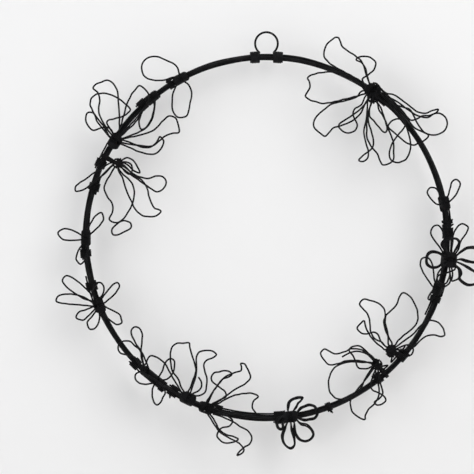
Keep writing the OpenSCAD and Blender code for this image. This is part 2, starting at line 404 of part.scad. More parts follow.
// The path of one petal, whose ends sit in the knot, or of a tail with one free end
function petal_path(f, p, root_radius, free_end = false) =
    let (outline = p[3], n = len(outline),
        root = [for (q = [outline[0], outline[n - 1]]) root_radius * unit(q)],
        flat = concat([root[0]], outline, free_end ? [] : [root[1]]),
        last = len(flat) - 1,
        at = hub(f))
    smooth([for (i = [0:last])
        at + [flat[i].x, -petal_depth(p, free_end ? i / last / 2 : i / last), flat[i].y]]);

// Petals and loose tails of the flowers, or leaves of a spray
module petals(flowers, root) {
    color("#141416")
        wires(
            [for (f = flowers) each concat(
                [for (p = all_turns(f)) petal_path(f, p, root)],
                [for (p = f[TAILS]) petal_path(f, p, root, true)])],
            petal_wire_d);
}

// The knots of binding wire that hold the petals' roots: four fat turns on a solid middle
module knots(flowers) {
    color("#0f0f11")
        for (f = flowers)
            translate(hub(f)) rotate([90, 0, 0])
                rotate_extrude($fn = ROUND_FN) {
                    for (y = knot_turns)
                        translate([f[KNOT] - knot_turn_r - (abs(y) > 1 ? knot_shrink : 0), y])
                            circle(r = knot_turn_r, $fn = ROUND_FN);
                    translate([0, -knot_core]) square([f[KNOT] - 1.3, 2 * knot_core]);
                }
}

// The stem: out of the back of the knot, down beside the ring, and along it on one side
function stem_path(f) =
    let (start = f[STEM][0],
        end = f[STEM][1],
        out = f[STEM][2] * stem_off,
        near = abs(f[OFFSET]) < near_ring,
        first = f[OFFSET] + stem_root * (near ? f[STEM][2] : sign(out - f[OFFSET])),
        depth = f[DEPTH] - stem_dip,
        step = (end - start) / ceil(abs(end - start) / stem_pitch))
    smooth(concat(
        [on_ring(f[ANGLE], first, depth)],
        [on_ring((f[ANGLE] + start) / 2, near ? out : (first + out) / 2, depth * stem_drop)],
        [for (a = [start:step:end + step / 2]) on_ring(a, out)]));

// Stems of the flowers, or of a spray's groups
module stems(flowers) {
    color("#141416") wires([for (f = flowers) stem_path(f)], petal_wire_d);
}

// A close winding round the ring and any stems beside it, as one ribbed sleeve along the tangent
module winding(angle, turns, stems = 0, side = 0) {
    inner = bundle_r + wind_gap + stems * petal_wire_d / 2;
    pitch = binding_wire_d * wind_pitch;
    span = (turns - 1) * pitch;
    translate(on_ring(angle, side * petal_wire_d / 2)) rotate([0, -angle, 0])
        rotate_extrude($fn = ROUND_FN) {
            for (i = [0:turns - 1])
                translate([inner + binding_wire_d / 2 + wind_lift, i * pitch - span / 2])
                    circle(d = binding_wire_d, $fn = ROUND_FN);
            translate([inner, -span / 2 - binding_wire_d * 0.4])
                square([binding_wire_d * sleeve, span + binding_wire_d * 0.8]);
        }
}

// The lashings that hold stems to the ring
module lashings(flowers) {
    color("#0f0f11")
        for (f = flowers)
            winding(f[LASH][0], f[LASH][1], f[LASH][2] == 0 ? 2 : 1, f[LASH][2]);
}

// Short bindings that hold the bundle together between the flowers
module ring_ties() {
    color("#0f0f11")
        for (t = RING_TIES)
            winding(t[0], t[1]);
}

// ---- Ring and hanging loop ----

// One hoop of the bundle: a true circle, tilted and shifted so that the hoops lay round each other once
module ring_strand(phase) {
    shift = [cos(phase), 0, -sin(phase)];
    color("#17171a")
        translate([0, 0, ring_z] + lay_r * shift)
            rotate(a = asin(lay_r / ring_r), v = shift)
                rotate([90, 0, 0])
                    rotate_extrude($fn = 96)
                        translate([ring_r, 0]) circle(d = strand_d, $fn = ROUND_FN);
}

// One wrapped end of the hanging loop, as a ribbed sleeve along X from x = 0
module wrapped_end() {
    pitch = loop_wire_d * wind_pitch;
    rotate([0, 90, 0])
        rotate_extrude($fn = ROUND_FN) {
            for (i = [0:loop_turns - 1])
                translate([wrap_r + loop_wire_d / 2 + wind_lift, (i + 0.5) * pitch])
                    circle(d = loop_wire_d, $fn = ROUND_FN);
            translate([wrap_r, 0.1 * pitch]) square([loop_wire_d * sleeve, (loop_turns - 0.2) * pitch]);
        }
}

// The hanging loop: an open circle of wire that runs into a wrapped end on each side
module hanging_loop() {
    foot = asin((foot_x + foot_bite) / (loop_d / 2));
    color("#141416")
        translate([0, 0, pivot_z]) {
            translate([0, 0, loop_rise]) rotate([90, 0, 0]) rotate([0, 0, -90 + foot])
                rotate_extrude(angle = 360 - 2 * foot, $fn = 96)
                    translate([loop_d / 2, 0]) circle(d = loop_wire_d, $fn = ROUND_FN);
            translate([foot_x, 0, 0]) wrapped_end();
            mirror([1, 0, 0]) translate([foot_x, 0, 0]) wrapped_end();
        }
}

for (i = [0:3])
    ring_strand(90 * i);
hanging_loop();
ring_ties();
for (f = FLOWERS) {
    petals([f], root_r);
    knots([f]);
    stems([f]);
    lashings([f]);
}
for (name = SPRAY_NAMES) {
    petals(groups(name), spray_root_r);
    knots(groups(name));
    stems(groups(name));
}
lashings(SPRAYS);  // spray_lashings
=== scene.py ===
"""The looks of the wire wreath: round bent wires, wound bindings and blackened-wire materials
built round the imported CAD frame."""
import math
import random

import bpy
import numpy as np
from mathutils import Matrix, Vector


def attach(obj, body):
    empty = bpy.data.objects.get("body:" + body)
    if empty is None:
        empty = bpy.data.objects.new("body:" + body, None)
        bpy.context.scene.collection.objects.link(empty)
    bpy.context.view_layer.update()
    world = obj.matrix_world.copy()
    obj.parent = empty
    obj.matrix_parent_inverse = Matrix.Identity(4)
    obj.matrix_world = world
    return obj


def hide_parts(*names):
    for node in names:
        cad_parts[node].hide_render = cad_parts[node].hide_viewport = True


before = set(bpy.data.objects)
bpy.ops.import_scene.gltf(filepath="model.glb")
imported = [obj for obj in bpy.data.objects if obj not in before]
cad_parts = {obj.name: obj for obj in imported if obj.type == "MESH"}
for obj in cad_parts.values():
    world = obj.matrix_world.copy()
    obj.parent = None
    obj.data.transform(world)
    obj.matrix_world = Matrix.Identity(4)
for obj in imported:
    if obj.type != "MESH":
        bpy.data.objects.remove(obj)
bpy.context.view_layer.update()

MM = 0.001

# ---- Sizes, in millimetres, as in the CAD ----
RING_R = 125.0
STRAND_D = 1.85
LOOP_D = 15.7
LOOP_WIRE_D = 1.3
LOOP_LOOK_D = LOOP_WIRE_D + 0.2  # drawn a little thicker than the CAD wire
LOOP_TURNS = 5
WIRE_D = 1.2
BIND_D = 1.0
PIGTAIL_R = 0.46
LAY_R = STRAND_D / math.sqrt(2) + 0.02
BUNDLE_R = LAY_R + STRAND_D / 2
STEM_OFF = BUNDLE_R + WIRE_D / 2 + 0.06
LAYER_GAP = WIRE_D + 0.15
ROOT_R = 2.8
SPRAY_ROOT_R = 2.0
TURN_INSET = 0.9
FOOT_X = 4.6
WRAP_LEN = LOOP_TURNS * LOOP_WIRE_D
SAG_NEAR = RING_R - math.sqrt(RING_R ** 2 - FOOT_X ** 2)
SAG_FAR = RING_R - math.sqrt(RING_R ** 2 - (FOOT_X + WRAP_LEN) ** 2)
PIVOT_DROP = (SAG_NEAR + SAG_FAR) / 2
WRAP_R = BUNDLE_R + (SAG_FAR - SAG_NEAR) / 2 + 0.12
LOOP_RISE = WRAP_R + LOOP_WIRE_D / 2 + math.sqrt(LOOP_D ** 2 / 4 - FOOT_X ** 2)
PIVOT_Z = -(LOOP_RISE + LOOP_D / 2 - LOOP_WIRE_D / 2)
RING_Z = PIVOT_Z + PIVOT_DROP - RING_R

# A flower or spray group: name, angle, offset, depth, knot radius, stem, lashing, petals, tails
STEM_ROOT = 1.8
STEM_DIP = 2.7
STEM_DROP = 0.55
STEM_PITCH = 2
NEAR_RING = 4
NAME, ANGLE, OFFSET, DEPTH, KNOT, STEM, LASH, PETALS, TAILS = range(9)
RING_TIES = [(-69.8, 3), (3.6, 3)]

FLOWERS = [
    ["flower_1", 54, 0, 6, 4.9, [52, 42, 1], [49.8, 7, 1], [
        [1, 7, 2, [[-2.6, 6.3], [-5, 12], [-6.3, 17.5], [-9, 21.5], [-14, 25.3], [-18.5, 28.3], [-21.5, 31],
            [-23, 34.5], [-23.8, 36.6], [-26, 36.8], [-30, 34], [-33, 30], [-34, 26], [-33, 22.5],
            [-29.5, 19], [-25, 16], [-16, 11.3], [-8, 6.5], [-4.8, 3.4]]],
        [0, 3, 1.5, [[-2.5, 6], [-4, 11], [-5.5, 16.5], [-8, 19.8], [-11.5, 21.6], [-10, 23.3],
            [-5.5, 24], [-1.5, 23.2], [1.8, 20], [1.2, 15.5], [-3, 11.5], [-7, 8.5], [-6, 5]]],
        [0, 8, 0, [[-5.5, 1], [-12, 7.3], [-20, 11.7], [-27, 13.3], [-33, 13], [-39, 12], [-43, 10.7],
            [-45, 9.2], [-44.1, 6.5], [-43.6, 2.5], [-45, -0.5], [-46.8, -3.3], [-45.5, -4.9],
            [-41, -7], [-35, -8.6], [-29, -7.8], [-20, -5.8], [-11, -3.4], [-5.5, -1.8]]],
        [1, 5, 3, [[-5, 0.5], [-8.5, -0.5], [-11.5, -4.3], [-20, -6.9], [-28, -8.9], [-33, -12.3],
            [-38, -16.5], [-41, -21.5], [-40.5, -25.5], [-37, -28.5], [-33, -31.2], [-30, -28.3],
            [-27, -25.3], [-23, -24], [-17, -22], [-12, -19], [-8, -14.5], [-5, -8], [-3, -5]]],
        [2, 9, 3, [[-5, -3.2], [-8, -9.5], [-12.8, -12.5], [-14, -16], [-12.5, -19.8], [-11, -23.5],
            [-12.5, -27.2], [-16.5, -29.1], [-20.5, -28], [-23.8, -24.6], [-23, -22.5],
            [-17, -18.6], [-10.5, -14], [-6, -9.5], [-2.8, -5.6]]],
        [3, 7, 2, [[-3.4, -5], [-4, -12], [-4.8, -20], [-6.4, -28], [-5.3, -35], [-3.4, -42],
            [-3.9, -46.3], [-7, -48.8], [-9.9, -48], [-7.5, -45], [-3, -41.7], [-0.2, -38.5],
            [0.2, -34], [-1.3, -27.5], [-3.2, -21], [-3, -14], [-0.3, -6.5]]],
        [0, 3, 0, [[2, -5.6], [5.5, -11.5], [8, -19], [11, -27], [14, -35], [14.6, -42], [13.5, -48],
            [10, -50.5], [6.8, -51], [5.3, -48.5], [3, -43.5], [-1.5, -37.5], [-4, -32],
            [-4.4, -25], [-3.2, -17], [-2, -10.5], [-1, -6]]],
        [1, 4, 0, [[2.6, -5.6], [4, -12], [6.5, -16.5], [8.8, -21.5], [9.9, -26], [8.6, -28.6],
            [5.5, -26.5], [1, -21.3], [-2.3, -16.5], [-2, -11], [-0.6, -6.4]]],
        [2, 11, 2, [[3.8, -4.8], [9.5, -9.5], [17, -16], [22, -22.5], [20, -27], [16.5, -31.3], [13, -36.3],
            [11, -42.5], [12.3, -47.7], [16.5, -49.5], [22, -47.5], [25.2, -42.5], [25.6, -36],
            [24.5, -29.5], [22.8, -24], [19, -16.5], [12, -8.5], [5.6, -2.6]]],
        [0, 5, 0, [[6.2, -1], [13, -7.5], [21, -11], [25.5, -13], [28.5, -17.5], [31, -22.5],
            [34.5, -28], [38.5, -30.6], [36, -33.6], [32, -36], [28, -37.4], [24, -36],
            [19, -32.4], [14, -28.4], [10.7, -24.3], [12.5, -21], [17, -19.3], [21.5, -20.3],
            [19.5, -16], [11, -9.5], [4.6, -4.2]]],
        [2, 14, 1, [[3, 4.5], [6.5, 0], [10, -2], [13.5, -2.4], [20, -6.8], [27, -12.2], [31, -15],
            [36, -15.6], [41, -13.6], [44.6, -12.9], [43.5, -15], [39.5, -17], [34, -17.3],
            [30, -19.3], [26, -20.3], [20, -13.5], [12, -5], [6.2, 0.6]]],
        [1, 8, 0, [[5, 2], [10, -3.3], [18, -8.3], [25, -13.4], [30, -16.9], [38, -18.2],
            [42, -15.8], [46, -15.7], [49.8, -18.3], [51.2, -22.5], [49.5, -27], [45, -30],
            [40, -30.2], [34, -28.2], [29, -25.7], [24, -19.5], [16, -11.5], [8, -3.5]]]
    ], []],
    ["flower_2", -7, 3, 5.9, 4.4, [-4, 2.8, 1], [1.4, 6, 1], [
        [2, 2, 0, [[-1.5, 4], [-4.6, 7.5], [-6.4, 11], [-4, 14], [0, 15.2], [4.5, 15], [6.5, 12.2],
            [4.8, 8.5], [2, 4.5]], 3],
        [2, 2.5, 0, [[-4, 2], [-7, 4.8], [-12, 6.2], [-15.6, 4.8], [-17.2, 0.8], [-16.6, -3], [-13, -5.5],
            [-9, -5.2], [-4.3, -1.2]], 3],
        [1, 2, 0, [[3.5, 2.5], [7, 6], [11.5, 8.8], [17, 9], [22, 7], [24.5, 3], [22, -0.5],
            [16, -1.8], [10.5, -1], [6.5, 0.5], [4, 0]], 2],
        [0, 2, 0, [[4.2, -1.2], [9, -3], [14, -5.8], [18, -8.5], [21.5, -12], [18.5, -16], [13, -17.6],
            [8.8, -16], [5.8, -13], [6.6, -9.5], [6.2, -6], [3, -3]], 3],
        [1, 4, 1.2, [[-0.8, -4.6], [-0.5, -8], [-0.1, -12.5], [-0.5, -15.8], [-3.5, -18], [-7.5, -17.8],
            [-9.8, -14.5], [-8.5, -11], [-5, -9.5], [0, -7.8], [3, -6.4], [3.2, -4.2]]],
        [3, 4, 0, [[-0.8, -4.6], [-0.6, -9.5], [-1.8, -14], [-3.2, -16], [-6.5, -16.3], [-9, -14],
            [-9, -9.5], [-6.5, -6], [-3.2, -3.2]]],
        [2, 2, 0, [[0.6, -4.4], [1.4, -8.5], [0.8, -14.4], [3, -14], [5.6, -12.6], [5.9, -8.5],
            [5.2, -6], [2.6, -3.8]]],
        [0, 3, 0, [[-3.5, 3], [-7.5, 9], [-11.5, 14.5], [-13.6, 18.8], [-12, 23], [-8.5, 24],
            [-5.5, 20.5], [-4, 12], [-1.5, 4]]],
        [0, 3, 0, [[0.8, 4], [1.5, 10], [1.8, 17], [4.5, 22.5], [8.5, 25.1], [11.9, 22.6], [11, 18.6],
            [8, 14.4], [6, 9], [3, 3.5]]]
    ], []],
    ["flower_3", -42, -9, 5, 3.7, [-45, -38, -1], [-40.5, 5, -1], [
        [1, 6, -1, [[-2, 4], [-2.2, 8.5], [-4.5, 15], [-5.2, 19], [-4.2, 23.5], [-5.5, 28.8],
            [-9, 32.2], [-15, 34.4], [-19.5, 34.8], [-22, 32], [-20, 28.8], [-16.5, 25], [-15, 18.5],
            [-14, 12], [-11.5, 7.8], [-6.5, 5], [-4, 2.5]]],
        [2, 5, 0, [[0.5, 4.5], [-1.5, 8.5], [-3.2, 14], [-4.3, 20], [-3.6, 23.6], [0, 27.5],
            [4, 32.3], [6, 37.5], [8.5, 39.5], [12.5, 37], [16, 32], [18, 26.5], [17.8, 20],
            [15, 15], [9, 10.5], [4.5, 6.3], [3, 3.6]]],
        [0, 3, -1.5, [[-4, 2.5], [-7, 6], [-9.2, 10.5], [-12.5, 12], [-17, 11], [-21, 12], [-23.6, 15],
            [-21, 18.5], [-18.8, 20.1], [-17.5, 16], [-15, 10], [-11.5, 5.8], [-7, 2.5], [-4.5, 0]]],
        [1, 6, -1, [[4.5, 0], [9, 0], [15, 1.8], [19.5, 6], [24, 9.5], [29, 10.2], [34.5, 9.2],
            [37, 10.5], [36, 14.5], [32, 18.7], [26.5, 20.5], [21, 17.5], [14, 10], [7, 5],
            [4, 2.5]]],
        [2, 3, 0, [[4, -1.5], [7.5, -3.8], [11, -4.4], [14, -2.8], [15.2, 0.5], [13, 3], [8, 2.6],
            [4, 0.8]]]
    ], []],
    ["flower_4", -49, -8.5, 5, 3.9, [-46.5, -53, -1], [-51.5, 5, -1], [
        [1, 4, -1, [[-3, 3.5], [-6, 6.5], [-10, 10], [-14.5, 11], [-18, 11], [-22.5, 9], [-28.5, 7.5],
            [-32, 8.7], [-36, 10.8], [-39, 8.5], [-37.5, 4.5], [-33.5, 0.2], [-28, 0.5], [-21.5, 2.7],
            [-15, 3], [-8.5, 2.2], [-4.5, 1]]],
        [2, 3, 0, [[-2, 4], [-6, 8], [-11, 12.3], [-15.5, 13], [-19.5, 10.5], [-17, 6.8], [-15.2, 3],
            [-13.8, -1], [-11.5, -2.6], [-6, -2.3], [-4, -1.3]]],
        [0, 4, 0, [[-4.5, 1.5], [-10, 1.6], [-18, 2], [-25, 0.5], [-30, -2.5], [-32.5, -7.5],
            [-33.7, -13], [-32.5, -19], [-28.5, -23], [-23.5, -23.8], [-17, -20.8], [-11.5, -16.5],
            [-8.5, -10], [-5.5, -5.5], [-3.5, -2.5]]],
        [1, 3, -2, [[-1, -4.5], [0.5, -10], [1.3, -16], [1, -22], [-1.5, -26.5], [-6, -31],
            [-8.2, -35], [-8.5, -37.8], [-12.5, -36.3], [-17, -32.5], [-18.6, -28], [-17.8, -23],
            [-12, -15], [-7, -9], [-3.5, -4]]],
        [2, 5, 2, [[-1.5, -4.5], [-3.5, -9], [-4.8, -14.5], [-3, -17.5], [0, -19], [4, -21],
            [5.7, -24.5], [3.5, -26.7], [0, -27.8], [-1.8, -26], [1, -23.5], [3.8, -19.5], [3, -15],
            [1.5, -9], [0.8, -5]]]
    ], [
        [3, 5, 0, [[-1, 3.5], [-5, 6], [-9, 8.5], [-14, 9.3], [-18, 8.8], [-21.3, 7.3], [-24.4, 5.5]]]
    ]],
    ["flower_5", -82.5, 0, 5.9, 3.7, [-84.5, -87.9, 1], [-85.8, 7, 0], [
        [1, 2.5, 0, [[-1.5, 4], [-1.7, 7], [-0.9, 10.4], [2, 12.9], [5.5, 13.8], [8.8, 13.4], [7.8, 11.4],
            [6, 9.4], [4.6, 6.8], [2.5, 4.5]], 2],
        [1, 2, 0, [[4, 2], [6.5, 5.8], [10, 7.8], [13.5, 8.7], [16.6, 8], [18.5, 5.6], [19.2, 2.4],
            [17.6, -0.8], [14, -2], [10.5, -2.5], [7, -1.8], [4, -0.4]], 2],
        [0, 2, 0, [[4, -1.5], [7, -4.4], [11.5, -5.3], [14.8, -7.8], [16.3, -11.8], [14.8, -15.4],
            [11, -17.2], [7.2, -16.2], [4.3, -13.4], [2.5, -9.6], [2.8, -4]], 3],
        [1, 3, 0, [[-2, -4], [-4.2, -8], [-5.9, -12.8], [-5, -17.3], [-2.6, -20.4], [0.5, -22],
            [2.8, -20.4], [3.2, -16], [2.4, -11], [1, -7], [0.5, -4.5]], 3],
        [2, 2, 0, [[-4.2, 0.4], [-8.4, -0.8], [-9.6, -4.2], [-8.6, -7.8], [-6, -8.8], [-4.8, -7],
            [-4.6, -4.4], [-3.4, -2.6]], 3]
    ], []],
    ["flower_6", -109.5, 0, 5.9, 3.7, [-107, -84.6, -1], [-105.5, 5, -1], [
        [1, 6, -1, [[1.5, 4], [4.5, 10.5], [8, 16], [13, 21.5], [19, 24.3], [24, 26], [24.6, 28.6],
            [24, 31], [26.4, 30.6], [29.2, 26], [30.3, 20.5], [27, 17], [20, 13], [14, 8.7],
            [8, 4.3], [4, 2]]],
        [3, 5, 1.2, [[4, 2.8], [9, 5.5], [13.5, 8.5], [13, 11.5], [8, 15.7], [3.7, 19], [4, 23],
            [9, 25.2], [15, 25.8], [17.5, 23.3], [11, 19.2], [6, 13.5], [2.5, 7.5], [0.5, 4.5]]],
        [0, 4, 0, [[4.5, 1.2], [9, 3.5], [15, 6.8], [22, 9.5], [29, 10.2], [34, 9.3], [36, 8],
            [33, 5], [31.8, 0.5], [33.5, -3], [35, -4.9], [27, -4.6], [17, -4], [11, -2.8],
            [7, -1.5], [4.3, -1]]],
        [0, 5, 3, [[1.2, -4.5], [4, -8.5], [9, -16], [14, -19.5], [20, -22.5], [24, -25.3],
            [26, -28.5], [25, -31], [21.5, -32.5], [25.5, -27.5], [30, -24.8], [31.7, -21],
            [29.5, -16.5], [23, -12.5], [18.5, -9.5], [10.5, -6], [3.6, -3]]],
        [3, 5, 2, [[2.5, -4], [6, -8.5], [9, -14.5], [13, -17.8], [19, -19.2], [22, -21],
            [20, -23], [14.5, -24], [10.5, -22.5], [7.5, -18.5], [10.5, -14], [16.5, -11.8],
            [18.3, -8.5], [11, -4], [4.2, -2.5]]]
    ], []],
    ["flower_7", -116, -1.5, 5.9, 3.9, [-118, -123.4, -1], [-121.3, 6, -1], [
        [1, 4, 0, [[-2.5, 4], [-4.6, 7], [-7, 13.5], [-11, 19.2], [-12, 25], [-12.3, 31],
            [-11.2, 35.3], [-8, 37.5], [-3, 38], [0.5, 38.6], [1.2, 35], [3, 28.5], [4.8, 23],
            [5.2, 18], [3.5, 12.5], [1.5, 7.5], [0, 4.5]]],
        [3, 5, 0, [[1.8, 4.3], [3.8, 10.5], [5.6, 17], [5.8, 24], [5.8, 29], [8, 32.2], [13, 33.1],
            [17.5, 32.4], [19.5, 30.3], [17, 28], [13, 26.5], [10.9, 23.5], [11.5, 19],
            [12.9, 13.5], [12.8, 8.5], [11.5, 4], [8, 2], [4.5, 1.5]]],
        [2, 9, 0, [[-4, 3.5], [-9, 11.5], [-13, 19], [-16.2, 24.1], [-20.2, 27.8], [-24.2, 29.5],
            [-26.7, 29], [-29.2, 24.2], [-32.2, 19.7], [-24, 13.5], [-14, 7], [-4.8, 1.2]]]
    ], [
        [0, 3, 0, [[3.5, 3.2], [7, 5], [9, 8], [9, 11.3], [7.1, 14.6]]]
    ]],
    ["flower_8", 202, 0, 5.9, 3.6, [199, 192, 1], [195.5, 6, 1], [
        [1, 5, 0, [[-1.5, 4], [-8, 10.5], [-16, 17.8], [-22, 20.3], [-25, 17.3], [-21, 11.8],
            [-12, 5.5], [-3.5, 2.5]]],
        [0, 4, 0, [[-4, 1.6], [-12, 6.3], [-21, 7.8], [-28, 6.3], [-29, 2.8], [-22, 1],
            [-13, 0.3], [-4.3, -0.6]]],
        [2, 2, 0, [[-4, -1], [-7.5, -2.6], [-14, -5], [-15.6, -8.2], [-11, -10.2], [-7, -7.2],
            [-3.2, -3.2]]],
        [0, 3, 0, [[-2, -4], [-5, -8], [-8.1, -12.2], [-6, -16.7], [-2, -15.2], [0.5, -9.2],
            [0, -4.3]]],
        [0, 3, 0, [[-2.8, 3.5], [-4, 8.8], [-2.8, 14.3], [1, 15.8], [3.6, 12.8], [2.6, 7.8],
            [0.4, 4.3]]],
        [1, 3, 0, [[1.6, 4], [5.9, 9.8], [8.9, 13.3], [12.9, 15.8], [14.4, 13.8], [11.9, 8.8],
            [7.9, 4.8], [4, 1.8]]],
        [1, 3, 0, [[4, -0.6], [8.5, -3], [14.5, -7], [16, -12], [12, -13], [6, -9], [1.6, -4]]]
    ], []],
    ["flower_9", 147.5, -1, 5.9, 4.1, [150.5, 158, 1], [156, 5, 1], [
        [2, 4, 1, [[0.3, 4.6], [3, 8], [3, 13], [2.8, 19.5], [2.5, 26.5], [1.5, 34], [-1.5, 40],
            [-5, 42], [-9.5, 40.5], [-13.5, 39], [-15, 36.5], [-11.8, 33.5], [-10.7, 28.5],
            [-11.4, 22.5], [-10, 16.5], [-6.5, 9.5], [-2.5, 4.5]]],
        [3, 7, 0, [[-4, 3.5], [-8, 10.4], [-12.4, 16], [-15.5, 21], [-17.2, 26], [-14.4, 31],
            [-7.4, 32.9], [0, 30.5], [6, 26.5], [10.5, 21.4], [7, 17.5], [0, 15.5], [-5.5, 13.5],
            [-3.5, 8.5], [-1, 4.8]]],
        [0, 3, -1.2, [[-1.5, 4.5], [-3, 8], [-6, 9.8], [-10.5, 8.5], [-15, 7.4], [-18, 9.5],
            [-20.2, 14], [-18.5, 19.5], [-15.3, 19.5], [-12.8, 14], [-10, 10.5], [-6.5, 6],
            [-4, 2.8]]],
        [1, 5, 0, [[1.5, 4.7], [4.5, 12], [6.5, 20.5], [8.6, 26], [12, 33], [17, 38.2], [21, 35.5],
            [23.5, 30], [20, 22], [14, 13], [8, 7], [3.6, 3.2]]],
        [0, 4, 0, [[4.5, 1.2], [10, 2.8], [17, 4], [24, 6.3], [28.6, 9.3], [33, 13.8], [37.5, 17.4],
            [41.5, 16.2], [43.5, 11.5], [44, 6], [40, 5.6], [35.5, 4], [30.5, 0], [25.5, -3.2],
            [17, -3.2], [9, -1.8], [4.5, -1]]],
        [1, 4, 0, [[4, -2], [9, -4], [15, -6.8], [22, -8.8], [27.5, -8.8], [32, -5.2], [33.3, 0.2],
            [31, 3], [28.6, -1], [25, -4], [20, -4.5], [14, -2.5], [9, -0.5], [4.5, 0.8]]],
        [2, 9, 0, [[4.3, 1.5], [10, 3.5], [16.5, 6], [21.5, 9], [25, 13.5], [27, 20.5], [27.5, 27.5],
            [22, 23.5], [16, 17], [10, 10.5], [3.2, 3.8]]]
    ], []],
    ["flower_10", 153.5, -10, 5, 3.7, [160, 166, -1], [163.5, 5, -1], [
        [1, 3, 0, [[3.5, 2.5], [6.5, 3.8], [10.5, 2.2], [13.5, -2], [15.3, -6.7], [11, -5],
            [7.5, -1.5], [4.3, 0.3]]],
        [0, 2, 0, [[4.2, 1], [7, 0.6], [9.8, -1.5], [10, -5], [8.2, -7.5], [5.5, -6], [3, -3]]],
        [1, 5, 3, [[-2.5, -3.5], [-6, -9.5], [-9.2, -17], [-7, -22.5], [-3.5, -29], [-3.5, -34],
            [-5.5, -38.5], [-0.5, -41.5], [5, -39.5], [9, -41], [9.3, -44.5], [4, -48], [-3, -49],
            [-4, -46], [1.5, -40.5], [6.5, -35], [10.5, -27], [11.4, -18.5], [8, -11.5],
            [3.5, -7], [1, -4.3]]],
        [0, 4, 0, [[-4, -2], [-9, -7], [-17, -13.5], [-24, -18.3], [-29, -19.5], [-28.5, -15.5],
            [-20, -9.5], [-10, -2.5], [-4.5, 0.3]]],
        [2, 3, 0, [[4.2, -1.2], [8.5, -5.5], [14, -9], [20.5, -10.5], [27, -8.8], [31.5, -9.5],
            [33.7, -13], [31.5, -17.5], [27.5, -19.8], [23, -17.5], [18, -14], [11.5, -9.5],
            [6, -5.5], [3, -3.2]]],
        [3, 5, 0, [[3.8, -2], [10, -7], [17, -12], [21, -19], [23, -26.5], [25.5, -31], [30, -33],
            [28, -35.8], [23, -37], [17, -36], [12, -31], [7.5, -22], [4, -12], [0.5, -4.4]]]
    ], []]
]

SPRAYS = [
    ["spray_right", 10.8, 1, 5.3, 2.8, [9, 4.6, 1], [5, 2, 1], [
        [0, 2, 0, [[-2.8, -0.6], [-6, -0.6], [-10, 3], [-12.5, 7.5], [-10.8, 10.7], [-7, 10.5],
            [-4, 6.5], [-1.8, 2.4]]],
        [1, 2, 0, [[0.6, 2.8], [2, 6], [3.2, 11], [4.7, 15.3], [7.4, 16.5], [10, 13.5], [8.4, 8.5],
            [5.4, 3.8], [2.6, 1.2]]]
    ], []],
    ["spray_right", -16.8, -2, 5.3, 2.8, [-18.5, -26, -1], [-20, 3, -1], [
        [1, 3, 0, [[-2.6, 1.4], [-6, 6], [-9.5, 11.5], [-11.5, 17], [-10.5, 21], [-7, 21.9],
            [-4, 19], [-2.5, 13], [-1.8, 6.5], [-0.4, 2.8]]],
        [0, 1, 0, [[-2.7, -1], [-5, -4], [-6, -7], [-4, -7.6], [-1.8, -4.8], [-0.6, -2.8]]]
    ], []],
    ["spray_lower_left", -131, 0, 5.3, 2.8, [-133, -138, 1], [-136, 5, 1], [
        [3, 3, 1.2, [[-1.4, 2.6], [-3.5, 7.5], [-4.6, 13.5], [-4.1, 21], [-4, 28], [-5.5, 31.6],
            [-8.5, 32.8], [-11.5, 30], [-10.8, 26], [-8, 21], [-5.3, 17], [-3, 12.5], [-0.6, 7],
            [0.9, 2.8]]],
        [1, 3, 0, [[-1, 2.8], [-3, 6.5], [-3.8, 11.5], [-5.5, 16.5], [-9, 19.7], [-12.5, 22.5],
            [-16, 23], [-19.5, 21.2], [-20.5, 17.3], [-18.5, 14.3], [-14, 13], [-9, 11.5],
            [-6.5, 7.5], [-2.8, 1.2]]]
    ], []],
    ["spray_lower_left", -127.5, 0, 5.3, 2.8, [-126, -123.8, 1], [-124.9, 3, 1], [
        [2, 6, 0, [[-2.6, 1.4], [-7, 4], [-11, 6.5], [-14.5, 4.5], [-14.3, 1], [-11, -1.5],
            [-6, -2], [-2.6, -1.4]]],
        [0, 2, 0, [[1.5, 2.5], [3.5, 6], [5.5, 11.5], [8, 14.5], [10.5, 15.3], [12.3, 14],
            [12.2, 9.5], [10.5, 4], [7, 1], [2.9, 0.6]]],
        [1, 3, 0, [[-1.5, -2.5], [-3, -7.5], [-2.3, -12.5], [0, -16.5], [2.8, -15], [4.5, -11.5],
            [6, -7.5], [4.5, -3.5], [2.4, -1.7]]]
    ], []],
    ["spray_left", 180, 0, 5.3, 2.8, [182, 187, 1], [185, 5, 1], [
        [1, 3, 0, [[-2.6, 1.4], [-9, 5], [-15, 6], [-19, 3], [-16, -1], [-9, -2], [-2.6, -1.4]]],
        [0, 3, 0, [[0.6, 2.8], [2.5, 8], [6.5, 14.5], [11, 17], [12.3, 13], [8.5, 7], [2.5, 1.8]]],
        [0, 3, 0, [[-1, -2.8], [-5, -9], [-6.5, -15], [-3.5, -18.5], [0, -14.5], [1.5, -8],
            [1, -2.8]]]
    ], []],
    ["spray_upper_left", 118.3, 0, 5.3, 2.8, [119.5, 123, 1], [122, 3, 1], [
        [1, 4, 1, [[-1, 2.8], [-2, 6.5], [-3.8, 9], [-7, 11], [-12, 13.2], [-17, 15], [-21.5, 14.5],
            [-25, 12], [-27, 7.5], [-26, 2.5], [-23, -0.2], [-18, -1.4], [-12, -1.3], [-7, 0.3],
            [-2.8, 0.8]]],
        [0, 4, 0, [[-1.6, -2.4], [-4, -7], [-5.5, -11], [-6, -16], [-5.8, -21], [-4.5, -24.5],
            [-2, -26.8], [1, -27.2], [4, -26], [5.5, -22.5], [6.5, -17], [7.5, -12], [7, -8],
            [5, -4], [2.2, -2]]]
    ], []],
    ["spray_upper_left", 129.3, 0, 5.3, 2.8, [131, 135, 1], [133, 5, 1], [
        [1, 2, 0, [[1, -2.8], [1.8, -6], [0.5, -12], [-1.5, -17], [-4, -20.5], [-7.2, -21.5],
            [-9, -17.5], [-7.5, -11.5], [-4.5, -6], [-1.6, -2.6]]]
    ], []]
]

